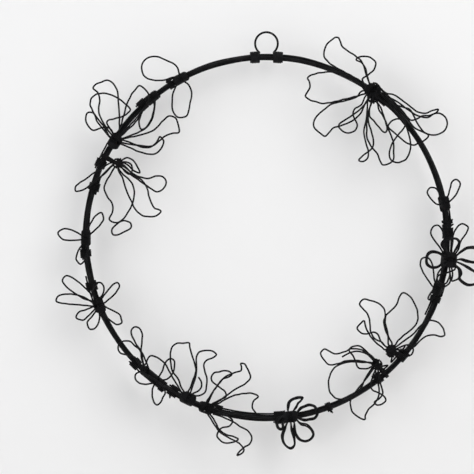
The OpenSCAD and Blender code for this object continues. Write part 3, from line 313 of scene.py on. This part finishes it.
# Lumps of binding wire beside a knot's middle: x, y and z from it, and radius
KNOT_LUMPS = {
    "flower_1": [(0.2, 0.6, -4.0, 4.4), (1.6, 0.8, 3.3, 2.9)],
    "flower_3": [(-0.2, 0.3, -2.2, 3.2)],
    "flower_7": [(0.6, 0.4, -1.2, 3.2)],
}

# ---- Paths ----

def unit(v):
    """The vector v at length 1."""
    v = np.asarray(v, float)
    return v / np.linalg.norm(v)


def spline(points, step=0.7):
    """The centripetal curve through the points, with a point about every step millimetres."""
    pts = [np.asarray(p, float) for p in points]
    last = len(pts) - 1
    out = []
    for i in range(last):
        p0 = pts[i - 1] if i else 2 * pts[0] - pts[1]
        p1, p2 = pts[i], pts[i + 1]
        p3 = pts[i + 2] if i + 2 <= last else 2 * pts[last] - pts[last - 1]
        a, b, c = (math.sqrt(max(1e-9, np.linalg.norm(q))) for q in (p1 - p0, p2 - p1, p3 - p2))
        m1 = p2 - p1 + b * ((p1 - p0) / a - (p2 - p0) / (a + b))
        m2 = p2 - p1 + b * ((p3 - p2) / c - (p3 - p1) / (b + c))
        n = max(1, round(np.linalg.norm(p2 - p1) / step))
        t = np.arange(n)[:, None] / n
        cubic = 2 * (p1 - p2) + m1 + m2
        square = 3 * (p2 - p1) - 2 * m1 - m2
        out.append(cubic * t ** 3 + square * t ** 2 + m1 * t + p1)
    return np.vstack(out + [pts[last][None]])


def waver(path, rng, size=0.13, wave=17.0):
    """Small hand-bent unevenness along a path, fading out towards its ends."""
    lengths = np.concatenate([[0], np.cumsum(np.linalg.norm(np.diff(path, axis=0), axis=1))])
    fade = np.minimum(1, np.minimum(lengths, lengths[-1] - lengths) / 6)
    shift = np.zeros_like(path)
    for k in range(4):
        amount = np.array([rng.gauss(0, 1) for _ in range(3)]) * size / (1 + k)
        phase = rng.uniform(0, 2 * math.pi)
        shift += np.sin(2 * math.pi * lengths * (1 + k * 0.83) / wave + phase)[:, None] * amount
    return path + shift * fade[:, None]


def on_ring(angle, out=0.0, front=0.0):
    """The point at an angle on the ring, moved outwards and forwards."""
    a = math.radians(angle)
    return np.array([(RING_R + out) * math.cos(a), -front, RING_Z + (RING_R + out) * math.sin(a)])


def hub(f):
    """The middle of a flower's knot."""
    return on_ring(f[ANGLE], f[OFFSET], f[DEPTH])


def second_turn(p):
    """The second turn of a doubled petal: the same outline a little smaller, in another layer."""
    outline = np.array(p[3], float)
    inward = outline - outline.mean(axis=0)
    inward /= np.linalg.norm(inward, axis=1)[:, None]
    inward[[0, -1]] = 0
    return [p[4], p[1], p[2], (outline - TURN_INSET * inward).tolist()]


def all_turns(f):
    return [turn for p in f[PETALS] for turn in ([p, second_turn(p)] if len(p) > 4 else [p])]


def petal_path(f, p, root_radius, free_end=False):
    """One petal, whose ends sit in the knot, or a tail with one free end."""
    layer, lift, skew, outline = p[:4]
    flat = [root_radius * unit(outline[0])] + [np.array(q, float) for q in outline]
    if not free_end:
        flat.append(root_radius * unit(outline[-1]))
    last = len(flat) - 1
    pts = []
    for i, q in enumerate(flat):
        t = i / last / 2 if free_end else i / last
        depth = (layer - 1) * LAYER_GAP + lift * math.sin(math.pi * t) + skew * math.sin(2 * math.pi * t)
        pts.append(hub(f) + np.array([q[0], -depth, q[1]]))
    return spline(pts)


def stem_path(f):
    """The stem: out of the back of the knot, down beside the ring and along it."""
    start, end, side = f[STEM]
    out = side * STEM_OFF
    near = abs(f[OFFSET]) < NEAR_RING
    first = f[OFFSET] + STEM_ROOT * (side if near else math.copysign(1, out - f[OFFSET]))
    depth = f[DEPTH] - STEM_DIP
    n = math.ceil(abs(end - start) / STEM_PITCH)
    pts = [on_ring(f[ANGLE], first, depth),
           on_ring((f[ANGLE] + start) / 2, out if near else (first + out) / 2, depth * STEM_DROP)]
    pts += [on_ring(start + (end - start) * k / n, out) for k in range(n + 1)]
    return spline(pts)


def wound_lashing(angle, turns, sides, rng, wire=BIND_D, tail=0.7):
    """A coil of binding wire round the bundle and the stems beside it, with its two cut ends."""
    circles = [(0.0, BUNDLE_R)] + [(s * STEM_OFF, WIRE_D / 2) for s in sides]
    phase = rng.uniform(0, 2 * math.pi)
    n = 26
    total = int(turns * n + rng.uniform(0.1, 0.5) * n)
    pts = []
    slack = 0.0
    for k in range(total + 1):
        turn = k / n
        phi = phase + 2 * math.pi * turn
        normal = (math.cos(phi), math.sin(phi))
        offset, radius = max(circles, key=lambda c: c[0] * normal[0] + c[1])
        slack = 0.9 * slack + 0.1 * rng.uniform(-0.05, 0.16)
        reach = radius + wire / 2 + 0.05 + max(0, slack)
        along = (turn - total / n / 2) * wire * 1.01
        a = math.degrees(along / RING_R) + angle
        pts.append(on_ring(a, offset + reach * normal[0], reach * normal[1]))
    for end, sign in ((0, 1), (-1, -1)):
        way = unit(pts[end] - pts[end + sign])
        centre = on_ring(angle + math.degrees((turns / 2 * -sign) * wire / RING_R))
        outward = unit(pts[end] - centre)
        stub = [pts[end] + way * tail * s + outward * (0.1 + 0.25 * s) * tail * s for s in (0.35, 0.7, 1.0)]
        pts = stub[::-1] + pts if sign > 0 else pts + stub
    return spline(pts, 0.35)


def ball_winding(at, r, rng):
    """Binding wire wound into a ball over the petals' roots, its plane turning as it goes."""
    per_turn = 22
    turns = 13 if r > 3 else 9
    start = rng.uniform(0, 2 * math.pi)
    slack = 0.0
    ball = []
    for k in range(turns * per_turn + 1):
        turn = k / per_turn
        share = turn / turns
        tilt = math.radians(14 + 62 * abs(math.sin(1.7 * math.pi * share)))
        heading = start + math.radians(137) * turn
        level = np.array([math.cos(heading), 0, math.sin(heading)])
        axis = math.sin(tilt) * level + np.array([0, math.cos(tilt), 0])
        across = unit(np.cross(axis, level))
        along = np.cross(axis, across)
        phi = 2 * math.pi * turn
        way = math.cos(phi) * across + math.sin(phi) * along
        slack = 0.85 * slack + 0.15 * rng.uniform(-0.3, 0.5)
        wide = (r - 1.5) * min(1, 0.2 + 2 * share) + 1.5 * share + slack
        deep = 1.5 + 1.2 * share + slack
        ball.append(at + way * [wide, deep, wide])
    return spline(ball, 0.4)


def knot_balls(f, rng):
    """The ball over a flower's knot, the lumps beside it, and the twisted wire through its middle."""
    lumps = [(0, 0, 0, f[KNOT])] + KNOT_LUMPS.get(f[NAME], [])
    paths = [ball_winding(hub(f) + np.array([x, y, z]), r, rng) for x, y, z, r in lumps]
    phase = rng.uniform(0, 2 * math.pi)
    for half in (0, math.pi):
        core = []
        for t in np.linspace(-1, 1, 15):
            phi = phase + half + 4 * t
            core.append(hub(f) + np.array([0.5 * math.cos(phi), -2.5 * t, 0.5 * math.sin(phi)]))
        paths.append(spline(core, 0.3))
    return paths


def cross_ties(f, rng):
    """Binding wire crossed over the knot's front and round the ring behind it."""
    near = abs(f[OFFSET]) < NEAR_RING
    across = [(0.0, 0.0, BUNDLE_R), (f[OFFSET], f[DEPTH], min(f[KNOT] - 0.9, 3.4 if near else 1.6))]
    turns, lean = (4, 3.4) if near else (1, 0.9)
    per_turn = 24
    paths = []
    for sign in (1, -1):
        start = math.pi + rng.uniform(-0.6, 0.6)
        pts = []
        for k in range(int((turns + 0.3) * per_turn)):
            turn = k / per_turn
            phi = start + 2 * math.pi * turn
            normal = (math.cos(phi), math.sin(phi))
            out, front, radius = max(across, key=lambda c: c[0] * normal[0] + c[1] * normal[1] + c[2])
            reach = radius + BIND_D / 2 + 0.1 + rng.uniform(0, 0.12)
            forward = front + reach * normal[1]
            drift = (turn - turns / 2) * 0.9 + sign * lean * (forward / f[DEPTH] - 0.6)
            angle = f[ANGLE] + math.degrees(drift / RING_R)
            pts.append(on_ring(angle, out + reach * normal[0], forward))
        paths.append(spline(pts, 0.4))
    return paths


def pigtail(angle, side, rng, length):
    """The two ends of a tie twisted together and bent down beside the ring."""
    base = on_ring(angle, side * (BUNDLE_R + BIND_D * 0.9), 0.6)
    outward = unit(on_ring(angle, 10) - on_ring(angle))
    tangent = np.cross(outward, [0, 1, 0]) * rng.choice((-1, 1))
    core = [base + (tangent * math.sin(1.1 * t) + side * outward * 0.75 * (1 - math.cos(1.1 * t))
                    + side * outward * 0.5 * t) * length / 1.6 for t in np.linspace(0, 1, 13)]
    paths = []
    for half in (0, math.pi):
        pts = []
        for k, c in enumerate(core):
            phi = half + 2 * math.pi * 1.3 * k / 12
            pts.append(c + PIGTAIL_R * (math.cos(phi) * np.array([0, 1, 0]) + math.sin(phi) * outward))
        paths.append(spline(pts[:12 if half else 13], 0.3))
    return paths


# ---- Meshes ----

def tube_arrays(path, radius, sides, start):
    """Points, faces and surface coordinates of one round wire, with bevelled cut ends."""
    path = np.asarray(path, float)
    along = np.gradient(path, axis=0)
    along /= np.maximum(1e-12, np.linalg.norm(along, axis=1))[:, None]
    side = np.cross(along[0], [0, 1, 0] if abs(along[0][1]) < 0.9 else [1, 0, 0])
    frames = []
    for a in along:
        side = side - side.dot(a) * a
        side /= np.linalg.norm(side)
        frames.append(side)
    frames = np.array(frames)
    other = np.cross(along, frames)
    lengths = np.concatenate([[0], np.cumsum(np.linalg.norm(np.diff(path, axis=0), axis=1))])
    bevel = 0.22 * radius
    centres = np.vstack([path[0], path[0] + along[0] * bevel, path[1:-1],
                         path[-1] - along[-1] * bevel, path[-1]])
    pick = [0, 0] + list(range(1, len(path) - 1)) + [len(path) - 1] * 2
    size = np.full(len(centres), radius)
    size[0] = size[-1] = radius * 0.8
    dist = lengths[pick]
    angles = np.arange(sides) * 2 * math.pi / sides
    ring = (np.cos(angles)[None, :, None] * frames[pick][:, None, :]
            + np.sin(angles)[None, :, None] * other[pick][:, None, :])
    verts = (centres[:, None, :] + ring * size[:, None, None]).reshape(-1, 3)
    faces, uvs = [], []
    rows = len(centres)
    for i in range(rows - 1):
        for k in range(sides):
            a, b = start + i * sides + k, start + i * sides + (k + 1) % sides
            faces.append((a, b, b + sides, a + sides))
            u0, u1, v0, v1 = dist[i], dist[i + 1], k / sides, (k + 1) / sides
            uvs += [(u0, v0), (u0, v1), (u1, v1), (u1, v0)]
    for first, order in ((start, -1), (start + (rows - 1) * sides, 1)):
        faces.append(tuple(first + k for k in range(sides))[::order])
        uvs += [(0, 0)] * sides
    return verts, faces, uvs


def wire_piece(name, paths, diameter, material, body, nodes, sides=12):
    """One piece of round wires, which rides on a body and stands for its CAD nodes."""
    all_verts, all_faces, all_uvs = [], [], []
    count = 0
    for path in paths:
        verts, faces, uvs = tube_arrays(path, diameter / 2, sides, count)
        all_verts.append(verts)
        all_faces += faces
        all_uvs += uvs
        count += len(verts)
    mesh = bpy.data.meshes.new(name)
    mesh.from_pydata((np.vstack(all_verts) * MM).tolist(), [], all_faces)
    layer = mesh.uv_layers.new(name="wire")
    layer.data.foreach_set("uv", np.array(all_uvs, dtype=np.float32).ravel())
    mesh.polygons.foreach_set("use_smooth", [len(f) == 4 for f in all_faces])
    mesh.update()
    piece = bpy.data.objects.new(name, mesh)
    bpy.context.scene.collection.objects.link(piece)
    mesh.materials.append(material)
    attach(piece, body)
    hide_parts(*nodes)
    return piece


# ---- Materials ----

def wire_material(name, dark, light, rough, metal, streak, rust):
    """Blackened steel wire: drawing streaks along it, scale, small dents and a little bare wear."""
    mat = bpy.data.materials.new(name)
    mat.use_nodes = True
    nodes, links = mat.node_tree.nodes, mat.node_tree.links
    nodes.clear()
    out = nodes.new("ShaderNodeOutputMaterial")
    shader = nodes.new("ShaderNodeBsdfPrincipled")
    links.new(shader.outputs["BSDF"], out.inputs["Surface"])
    place = nodes.new("ShaderNodeTexCoord")

    def noise(scale, detail=4, stretch=None, source="Object"):
        coords = place.outputs[source]
        if stretch:
            mapping = nodes.new("ShaderNodeMapping")
            mapping.inputs["Scale"].default_value = stretch
            links.new(coords, mapping.inputs["Vector"])
            coords = mapping.outputs["Vector"]
        node = nodes.new("ShaderNodeTexNoise")
        node.inputs["Scale"].default_value = scale
        node.inputs["Detail"].default_value = detail
        links.new(coords, node.inputs["Vector"])
        return node.outputs["Fac"]

    def ramp(value, low, high, low_colour, high_colour):
        node = nodes.new("ShaderNodeValToRGB")
        node.color_ramp.elements[0].position = low
        node.color_ramp.elements[1].position = high
        node.color_ramp.elements[0].color = (*low_colour, 1)
        node.color_ramp.elements[1].color = (*high_colour, 1)
        links.new(value, node.inputs["Fac"])
        return node.outputs["Color"]

    def mix(factor, a, b):
        node = nodes.new("ShaderNodeMix")
        node.data_type = "RGBA"
        links.new(factor, node.inputs["Factor"])
        links.new(a, node.inputs["A"])
        links.new(b, node.inputs["B"])
        return node.outputs["Result"]

    patches = noise(160, 5)
    grain = noise(1800, 3)
    streaks = noise(1.0, 3, (0.35, 22, 1), "UV")
    base = ramp(patches, 0.34, 0.68, dark, light)
    worn = ramp(streaks, 0.60, 0.74, (0, 0, 0), (streak, streak, streak))
    bare = ramp(grain, 0.3, 0.7, (0.018, 0.0175, 0.0175), (0.038, 0.037, 0.036))
    colour = mix(worn, base, bare)
    rusty = ramp(noise(420, 6), 0.66, 0.76, (0, 0, 0), (rust, rust, rust))
    brown = ramp(grain, 0.3, 0.7, (0.035, 0.016, 0.009), (0.07, 0.032, 0.016))
    colour = mix(rusty, colour, brown)
    links.new(colour, shader.inputs["Base Color"])
    roughness = ramp(noise(700, 4), 0.25, 0.8, (rough - 0.1,) * 3, (rough + 0.16,) * 3)
    links.new(roughness, shader.inputs["Roughness"])
    shader.inputs["Metallic"].default_value = metal
    shader.inputs["Specular IOR Level"].default_value = 0.08
    bump = nodes.new("ShaderNodeBump")
    bump.inputs["Strength"].default_value = 0.35
    bump.inputs["Distance"].default_value = 0.00006
    height = nodes.new("ShaderNodeMath")
    height.operation = "ADD"
    links.new(noise(2600, 3), height.inputs[0])
    links.new(streaks, height.inputs[1])
    links.new(height.outputs["Value"], bump.inputs["Height"])
    links.new(bump.outputs["Normal"], shader.inputs["Normal"])
    return mat


def plain_material(name, colour, rough, one_sided=False):
    """The stage's plain paint, clear from behind where it is one-sided."""
    mat = bpy.data.materials.new(name)
    mat.use_nodes = True
    nodes, links = mat.node_tree.nodes, mat.node_tree.links
    shader = nodes["Principled BSDF"]
    shader.inputs["Base Color"].default_value = (*colour, 1)
    shader.inputs["Roughness"].default_value = rough
    if one_sided:
        clear = nodes.new("ShaderNodeBsdfTransparent")
        mixer = nodes.new("ShaderNodeMixShader")
        facing = nodes.new("ShaderNodeNewGeometry")
        links.new(facing.outputs["Backfacing"], mixer.inputs["Fac"])
        links.new(shader.outputs["BSDF"], mixer.inputs[1])
        links.new(clear.outputs["BSDF"], mixer.inputs[2])
        links.new(mixer.outputs["Shader"], nodes["Material Output"].inputs["Surface"])
    return mat


ring_mat = wire_material("ring_wire_black", (0.004, 0.004, 0.0045), (0.010, 0.010, 0.011),
                         rough=0.50, metal=0.03, streak=0.35, rust=0.25)
flower_mat = wire_material("flower_wire_black", (0.003, 0.003, 0.0035), (0.009, 0.009, 0.010),
                           rough=0.48, metal=0.03, streak=0.30, rust=0.2)
binding_mat = wire_material("binding_wire_black", (0.003, 0.003, 0.0035), (0.008, 0.008, 0.009),
                            rough=0.55, metal=0.03, streak=0.25, rust=0.3)
hanger_mat = wire_material("hanger_wire_black", (0.004, 0.004, 0.0045), (0.011, 0.011, 0.012),
                           rough=0.44, metal=0.05, streak=0.35, rust=0.15)

# ---- The ring ----

for i in range(4):
    rng = random.Random(10 + i)
    waves = [(rng.randint(5, 31), rng.uniform(0, 6.28), rng.gauss(0, 0.05), rng.gauss(0, 0.05))
             for _ in range(7)]
    path = []
    for k in range(901):
        theta = 2 * math.pi * k / 900
        lay = theta + math.radians(90 * i)
        dr = LAY_R * math.cos(lay) + sum(a * math.sin(n * theta + ph) for n, ph, a, b in waves)
        dy = LAY_R * math.sin(lay) + sum(b * math.sin(n * theta + ph + 1) for n, ph, a, b in waves)
        path.append([(RING_R + dr) * math.cos(theta), dy, RING_Z + (RING_R + dr) * math.sin(theta)])
    wire_piece("strand_%d" % (i + 1), [path], STRAND_D, ring_mat, "frame",
               ["ring_strand_%d" % (i + 1)], 14)

rng = random.Random(40)
ties = [wound_lashing(a, n, (), rng) for a, n in RING_TIES]
for a, n in RING_TIES:
    ties += pigtail(a, 1, rng, 1.9)
wire_piece("ring_ties_wound", ties, BIND_D, binding_mat, "frame", ["ring_ties"])

# ---- The hanging loop: one wire, coiled at both ends ----

def hanging_wire():
    """The path of the hanging loop's wire: wrapped end, open circle, wrapped end."""
    rng = random.Random(60)
    turn = 28
    total = int((LOOP_TURNS + 0.45) * turn)
    ends = []
    for side in (1, -1):
        slack = 0.0
        end = []
        for k in range(total + 1):
            phi = math.pi / 2 - 2 * math.pi * k / turn
            slack = 0.9 * slack + 0.1 * rng.uniform(-0.05, 0.3)
            reach = WRAP_R + LOOP_WIRE_D / 2 + 0.03 + slack + 0.5 * max(0, k / turn - LOOP_TURNS - 0.2)
            x = FOOT_X + 0.3 + (WRAP_LEN - 0.5) * k / total
            drop = RING_R - math.sqrt(RING_R ** 2 - x * x) - PIVOT_DROP
            lean = math.asin(x / RING_R)
            end.append(np.array([side * (x + reach * math.sin(phi) * math.sin(lean)),
                                 -side * reach * math.cos(phi), PIVOT_Z - drop + reach * math.sin(phi)]))
        ends.append(end)
    right, left = ends
    centre = PIVOT_Z + LOOP_RISE
    foot = math.asin((FOOT_X + 0.3) / (LOOP_D / 2))
    arc = []
    for k in range(61):
        a = -math.pi / 2 + foot + 0.16 + (2 * math.pi - 2 * foot - 0.32) * k / 60
        arc.append(np.array([LOOP_D / 2 * math.cos(a), 0, centre + LOOP_D / 2 * math.sin(a)]))
    return spline(right[::-1] + arc + left, 0.4)


wire_piece("hanging_wire", [hanging_wire()], LOOP_LOOK_D, hanger_mat, "hanger",
           ["hanging_loop"], 16)

# ---- Flowers and sprays ----

def build_group(title, groups, root_radius, suffixes, seed):
    """Petals, knots and stems of one flower or spray. Returns its lashings' paths."""
    rng = random.Random(seed)
    petals, knots, stems, lashes = [], [], [], []
    for f in groups:
        petals += [waver(petal_path(f, p, root_radius), rng) for p in all_turns(f)]
        petals += [waver(petal_path(f, p, root_radius, True), rng) for p in f[TAILS]]
        stems.append(stem_path(f))
        knots += knot_balls(f, rng) + cross_ties(f, rng)
        sides = (1, -1) if f[LASH][2] == 0 else (f[LASH][2],)
        lashes.append(wound_lashing(f[LASH][0], f[LASH][1], sides, rng))
        if f[LASH][1] > 5 and f[NAME] not in CLEAN_LASHINGS:
            at = f[LASH][0] + rng.uniform(-0.8, 0.8)
            lashes += pigtail(at, -f[LASH][2] or 1, rng, rng.uniform(1.6, 2.2))
    wire_piece(title + "_" + suffixes[0] + "_wire", petals, WIRE_D, flower_mat, "frame",
               [title + "_" + suffixes[0]])
    wire_piece(title + "_" + suffixes[1] + "_wound", knots, BIND_D, binding_mat, "frame",
               [title + "_" + suffixes[1]], 10)
    wire_piece(title + "_" + suffixes[2] + "_wire", stems, WIRE_D, flower_mat, "frame",
               [title + "_" + suffixes[2]])
    return lashes


CLEAN_LASHINGS = ("flower_1", "flower_2", "flower_5")

for number, f in enumerate(FLOWERS):
    lashes = build_group(f[NAME], [f], ROOT_R, ("petals", "knot", "stem"), 100 + number)
    wire_piece(f[NAME] + "_lashing_wound", lashes, BIND_D, binding_mat, "frame",
               [f[NAME] + "_lashing"], 10)

spray_lashes = []
for number, name in enumerate(["spray_right", "spray_lower_left", "spray_left", "spray_upper_left"]):
    groups = [g for g in SPRAYS if g[NAME] == name]
    spray_lashes += build_group(name, groups, SPRAY_ROOT_R, ("leaves", "knots", "stems"), 200 + number)
wire_piece("spray_lashings_wound", spray_lashes, BIND_D, binding_mat, "frame",
           ["spray_lashings"], 10)

# ---- Stage, lights and camera ----

def quad(name, corners, material):
    """One flat face of the stage."""
    mesh = bpy.data.meshes.new(name)
    mesh.from_pydata(corners, [], [(0, 1, 2, 3)])
    obj = bpy.data.objects.new(name, mesh)
    bpy.context.scene.collection.objects.link(obj)
    mesh.materials.append(material)
    return obj


WALL_Y = 0.0195
FLOOR_Z = -0.62
HALF_WIDTH = 1.6
WALL_TOP = 1.2
FLOOR_REACH = 2.6
wall_mat = plain_material("pale_wall", (0.86, 0.86, 0.86), 0.9, one_sided=True)
floor_mat = plain_material("pale_floor", (0.80, 0.79, 0.77), 0.8, one_sided=True)
quad("wall", [(x, WALL_Y, z) for x, z in ((-HALF_WIDTH, FLOOR_Z), (HALF_WIDTH, FLOOR_Z),
                                          (HALF_WIDTH, WALL_TOP), (-HALF_WIDTH, WALL_TOP))], wall_mat)
quad("floor", [(x, y, FLOOR_Z) for x, y in ((-HALF_WIDTH, -FLOOR_REACH), (HALF_WIDTH, -FLOOR_REACH),
                                            (HALF_WIDTH, FLOOR_REACH), (-HALF_WIDTH, FLOOR_REACH))],
     floor_mat)


def area_light(name, at, target, size, energy, colour=(1, 1, 1)):
    """A soft rectangular light that faces its target."""
    light = bpy.data.lights.new(name, "AREA")
    light.shape = "RECTANGLE"
    light.size, light.size_y = size
    light.energy = energy
    light.color = colour
    obj = bpy.data.objects.new(name, light)
    bpy.context.scene.collection.objects.link(obj)
    obj.location = at
    way = np.array(target) - np.array(at)
    obj.rotation_euler = Vector(way).to_track_quat("-Z", "Y").to_euler()
    return obj


centre = (0, 0, RING_Z * MM)
area_light("key", (0.9, -1.2, 0.7), centre, (1.3, 1.3), 15, (1, 0.99, 0.98))
area_light("fill", (-1.2, -1.3, 0.1), centre, (1.4, 1.4), 11, (0.98, 0.99, 1))
area_light("top", (0, -0.5, 1.3), centre, (1.4, 0.8), 6)
area_light("back", (0.3, 1.5, 0.4), centre, (1.2, 1.2), 8)
world = bpy.data.worlds.new("studio")
world.use_nodes = True
world.node_tree.nodes["Background"].inputs["Color"].default_value = (0.95, 0.96, 1.0, 1)
world.node_tree.nodes["Background"].inputs["Strength"].default_value = 0.3
bpy.context.scene.world = world
bpy.context.scene.view_settings.view_transform = "Standard"

CAMERA_DISTANCE = 3.2
VIEW_WIDTH = 0.328245    # width of the picture at the ring's plane
CAMERA_X = -0.0204
CAMERA_RISE = 0.35 * MM  # above the ring's centre
SENSOR = 36
camera = bpy.data.cameras.new("camera")
camera.sensor_width = SENSOR
camera.lens = SENSOR * CAMERA_DISTANCE / VIEW_WIDTH
camera.clip_start = 0.01
camera_object = bpy.data.objects.new("camera", camera)
bpy.context.scene.collection.objects.link(camera_object)
camera_object.location = (CAMERA_X, -CAMERA_DISTANCE, RING_Z * MM + CAMERA_RISE)
camera_object.rotation_euler = (math.pi / 2, 0, 0)
bpy.context.scene.camera = camera_object
